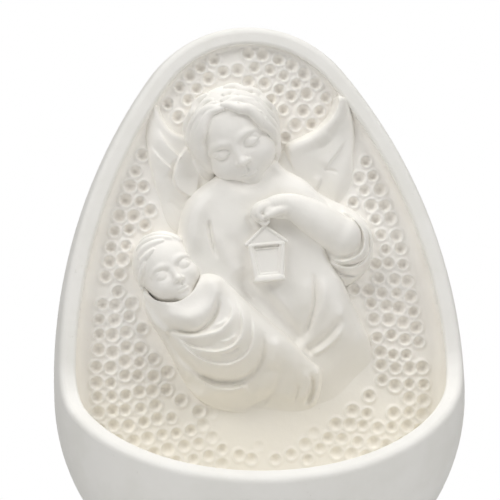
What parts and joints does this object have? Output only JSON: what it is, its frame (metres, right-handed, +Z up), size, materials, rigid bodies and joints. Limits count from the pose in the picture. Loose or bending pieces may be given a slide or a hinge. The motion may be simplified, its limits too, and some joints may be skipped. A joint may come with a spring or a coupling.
{
  "type": "holy water stoup",
  "caption": "Egg-shaped wall-hung holy water stoup: scooped rim over a small bowl, dimpled niche with a guardian angel relief, keyhole hanger at the back.",
  "frame": {"origin": "centre of the keyhole hanger's entry hole, on the wall plane", "axes": "+Y into the wall, along the entry hole; +Z up; +X to the viewer's right, so the stoup faces -Y"},
  "size_m": [0.1, 0.0499, 0.14],
  "materials": {
    "bisque_shell": "unglazed matt white bisque",
    "bisque_panel": "unglazed matt white bisque, faintly warm",
    "bisque_figures": "unglazed matt white bisque",
    "hanger_steel": "zinc plated sheet",
    "screw_steel": "zinc plated",
    "plug_nylon": "natural nylon"
  },
  "bodies": {
    "root": {"shell": "bisque_shell", "relief_panel": "bisque_panel", "left_wing": "bisque_figures", "right_wing": "bisque_figures", "angel_robe": "bisque_figures", "angel_head": "bisque_figures", "angel_arm": "bisque_figures", "angel_sleeve": "bisque_figures", "lantern": "bisque_figures", "child_wrap": "bisque_figures", "child_head": "bisque_figures", "hanger_plate": "hanger_steel", "hanger_screws": "screw_steel", "screw_plugs": "plug_nylon"}
  },
  "joints": []
}
